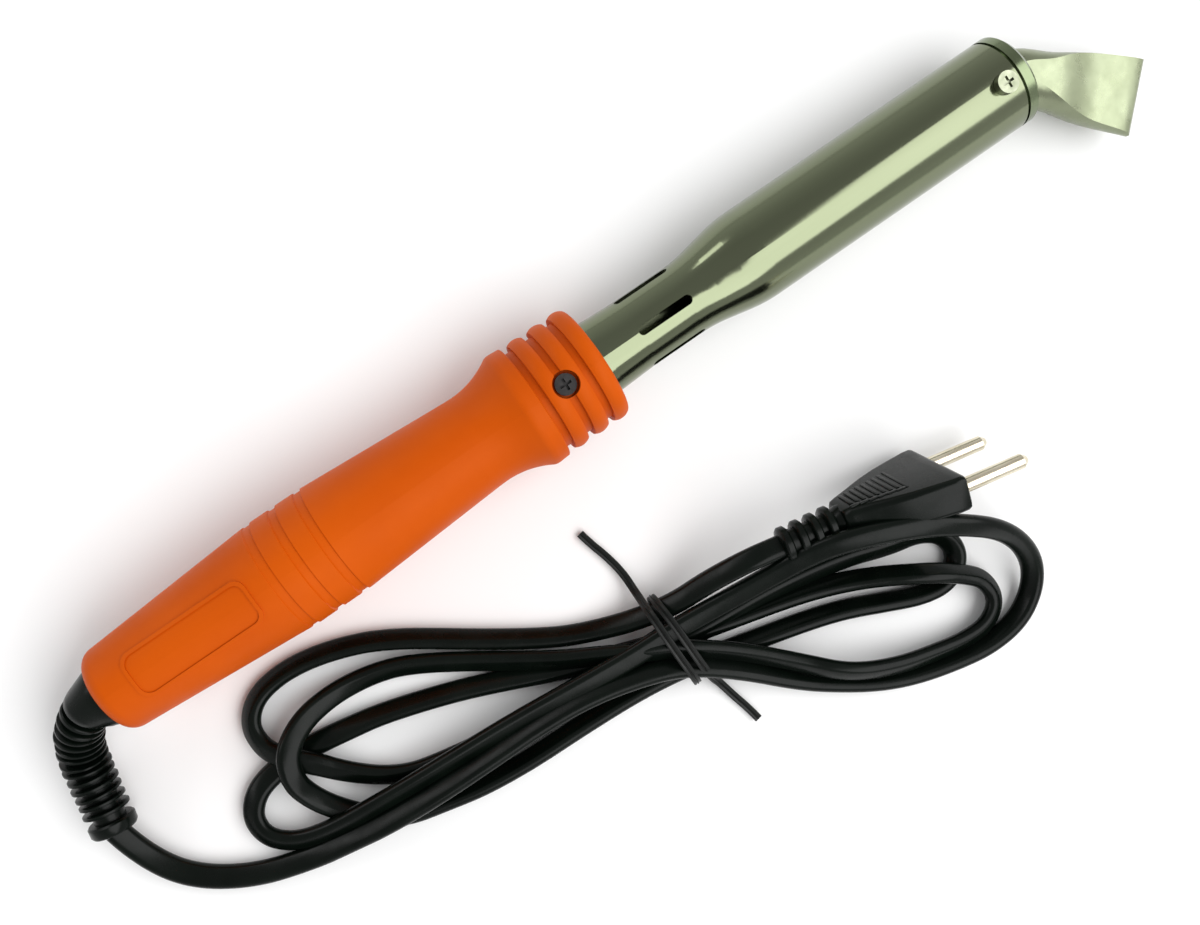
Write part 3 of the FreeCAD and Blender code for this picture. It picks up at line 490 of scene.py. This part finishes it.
TIE_WIDTH = 2.2
TIE_THICK = 0.9
TIE_ROUTE = [
    (-40, -27.5, 1.2), (-39.2, -31.5, 1.2), (-37.8, -36, 1.3), (-36.6, -42.5, 1.5),
    (-36.8, -48.2, 3.2), (-37, -51.2, 7.4), (-37.2, -54, 11.6), (-37.4, -60, 12.6),
    (-37.4, -67, 12.6), (-37.2, -73.4, 11.4), (-37, -77.2, 7.6), (-36.8, -77.4, 2.6),
    (-36.4, -73, 0.8), (-35.6, -65, 0.7), (-34.8, -56, 0.8), (-34.4, -52, 2.8),
    (-34.2, -51.6, 8.4), (-34, -55.6, 12.4), (-33.8, -62, 13.1), (-33.8, -69, 12.8),
    (-33.6, -75, 10.6), (-33, -78.8, 5.6), (-32, -81.6, 2), (-30.9, -86.8, 1.3),
    (-29.6, -91.6, 1.2), (-28.9, -95.8, 1.2),
]
tie_line = spline_points("tie", TIE_ROUTE, 8)
tie_strip = finish_piece(sweep_strip("tie_strip", tie_line, TIE_WIDTH, TIE_THICK),
                         "tie_pvc", replaced=("cord_tie",))

# ----------------------------------------------------------------------- plug

RIB_COUNT = 8
RIB_PITCH = 1.75
RIM_STEPS = 6
RIM_PITCH = 2.4
BOOT_FINS = 4
BOOT_PITCH = 4.1
BOOT_SIDES = 36


def rounded_rectangle(half_wide, half_thick, corner, steps=5):
    """Corner points of a rounded rectangle, across and up."""
    ring = []
    for quarter, (side, up) in enumerate(((1, 1), (-1, 1), (-1, -1), (1, -1))):
        for step in range(steps + 1):
            angle = math.pi / 2 * (quarter + step / steps)
            ring.append((side * (half_wide - corner) + corner * math.cos(angle),
                         up * (half_thick - corner) + corner * math.sin(angle)))
    return ring


def plug_shell(work):
    """Body lofted through rounded rectangles; width along Z, thickness along Y."""
    stations = [(-0.05, 13.5, 3.9, 1.2), (-0.5, 14.1, 4.5, 1.3), (-1.3, 14.25, 4.8, 1.4),
                (-3.4, 14.2, 4.8, 1.4), (-8, 13.2, 4.8, 1.5), (-13.5, 11.9, 4.8, 1.6),
                (-19, 9.9, 4.75, 1.7), (-24, 7.6, 4.65, 1.9), (-28, 6, 4.55, 2.1),
                (-29.6, 5.5, 4.3, 2.2), (-30.1, 4.9, 3.9, 2.2)]
    rings = []
    for along, half_wide, half_thick, corner in stations:
        ring = [work.verts.new(point(along, up, across))
                for across, up in rounded_rectangle(half_wide, half_thick, corner)]
        rings.append(ring)
    skin_rings(work, rings)


def ridge(work, low, high, soft):
    """One raised bar with soft edges, between two corners in millimetres."""
    made = bmesh.ops.create_cube(work, size=1)["verts"]
    centre = [(a + b) / 2 for a, b in zip(low, high)]
    size = [b - a for a, b in zip(low, high)]
    for vertex in made:
        vertex.co = point(*[c + s * v for c, s, v in zip(centre, size, vertex.co)])
    edges = list({edge for vertex in made for edge in vertex.link_edges})
    bmesh.ops.bevel(work, geom=edges, offset=soft * MM, segments=2, affect="EDGES",
                    profile=0.6)


def plug_moulding():
    """Body with a ribbed patch and an L-shaped rim on each wide face, and a finned boot."""
    work = bmesh.new()
    plug_shell(work)
    for inner, outer in ((4.45, 5.05), (-5.05, -4.45)):
        for number in range(RIB_COUNT):
            along = -14.2 - RIB_PITCH * number
            half = 5.9 - 0.3 * number
            ridge(work, (along - 0.95, inner, -half), (along, outer, half - 0.4), 0.22)
        ridge(work, (-13.3, inner, -6.6), (-12.5, outer, 7.2), 0.2)
        for number in range(RIM_STEPS):
            along = -13.3 - RIM_PITCH * number
            top = 7.2 - 0.42 * number
            ridge(work, (along - 2.5, inner, top - 1.0), (along + 0.1, outer, top), 0.2)
    profile = [(-29.2, 4.4), (-30.3, 4.3)]
    for number in range(BOOT_FINS):
        base = -32.0 - BOOT_PITCH * number
        radius = 5.3 - 0.16 * number
        profile += [(base, 3.5), (base - 0.15, radius - 0.5), (base - 0.6, radius),
                    (base - 1.9, radius), (base - 2.4, radius - 0.5), (base - 2.55, 3.5)]
    profile += [(-46.9, 3.4), (-47, 3.0)]
    rings = []
    turns = [2 * math.pi * step / BOOT_SIDES for step in range(BOOT_SIDES)]
    for along, radius in profile:
        rings.append([work.verts.new(point(along, radius * math.cos(turn), radius * math.sin(turn)))
                      for turn in turns])
    skin_rings(work, rings)
    mesh = finish_mesh(work, "plug_moulding")
    mesh.transform(PLUG)
    return add_object("plug_moulding", mesh, 40)


plug_piece = finish_piece(plug_moulding(), "cord_pvc", replaced=("plug_body",))

# ---------------------------------------------------------------- the setting

FLOOR_REACH = 5
SENSOR_WIDTH = 36
LENS = 34.43628
CAMERA_PLACE = (-48.42, -13.01, 308.91)


def floor():
    """Plain pale ground."""
    work = bmesh.new()
    corners = [(-FLOOR_REACH, -FLOOR_REACH), (FLOOR_REACH, -FLOOR_REACH),
               (FLOOR_REACH, FLOOR_REACH), (-FLOOR_REACH, FLOOR_REACH)]
    work.faces.new([work.verts.new((x, y, 0)) for x, y in corners])
    thing = add_object("floor", finish_mesh(work, "floor"))
    material = surface("floor_paper", (0.90, 0.90, 0.90), (0.93, 0.93, 0.93), (0.8, 0.9),
                       scale=6, grain=300, grain_depth=0.01)
    thing.data.materials.append(material)


def area_light(name, place, aim, size, power):
    """Rectangular lamp at place, turned towards aim, in metres and watts."""
    lamp = bpy.data.lights.new(name, "AREA")
    lamp.shape = "RECTANGLE"
    lamp.size, lamp.size_y = size
    lamp.energy = power
    thing = bpy.data.objects.new(name, lamp)
    scene.collection.objects.link(thing)
    thing.location = place
    thing.rotation_mode = "QUATERNION"
    thing.rotation_quaternion = (Vector(aim) - Vector(place)).to_track_quat("-Z", "Y")


def studio():
    """Ground, two soft lamps, and a sky that is darker overhead."""
    floor()
    area_light("key", (0.45, -0.62, 1.0), (0.05, -0.05, 0), (2.0, 0.95), 20)
    area_light("fill", (-0.5, 1.0, 0.7), (0, 0, 0), (1.2, 0.3), 3.5)
    world = bpy.data.worlds.new("studio")
    scene.world = world
    world.use_nodes = True
    tree = world.node_tree
    background = tree.nodes["Background"]
    place = tree.nodes.new("ShaderNodeTexCoord")
    split = tree.nodes.new("ShaderNodeSeparateXYZ")
    tree.links.new(place.outputs["Generated"], split.inputs["Vector"])
    shade = ramp(tree, split.outputs["Z"], 0.85, 0.50, 0.1, 0.8)
    tree.links.new(shade, background.inputs["Color"])
    background.inputs["Strength"].default_value = 0.9


def camera():
    """Camera at the photograph's viewing angle, from its right, down and ahead directions."""
    view = bpy.data.cameras.new("camera")
    view.sensor_width = SENSOR_WIDTH
    view.lens = LENS
    view.clip_start = 0.01
    view.clip_end = 10
    thing = bpy.data.objects.new("camera", view)
    scene.collection.objects.link(thing)
    right = Vector((0.818856, -0.570112, 0.066688))
    down = Vector((-0.568825, -0.821544, -0.038783))
    ahead = Vector((0.076897, -0.006176, -0.997020))
    turn = Matrix((right, -down, -ahead)).transposed()
    thing.matrix_world = Matrix.Translation(point(*CAMERA_PLACE)) @ turn.to_4x4()
    scene.camera = thing


studio()
camera()
scene.view_settings.view_transform = "Standard"

bpy.context.view_layer.update()
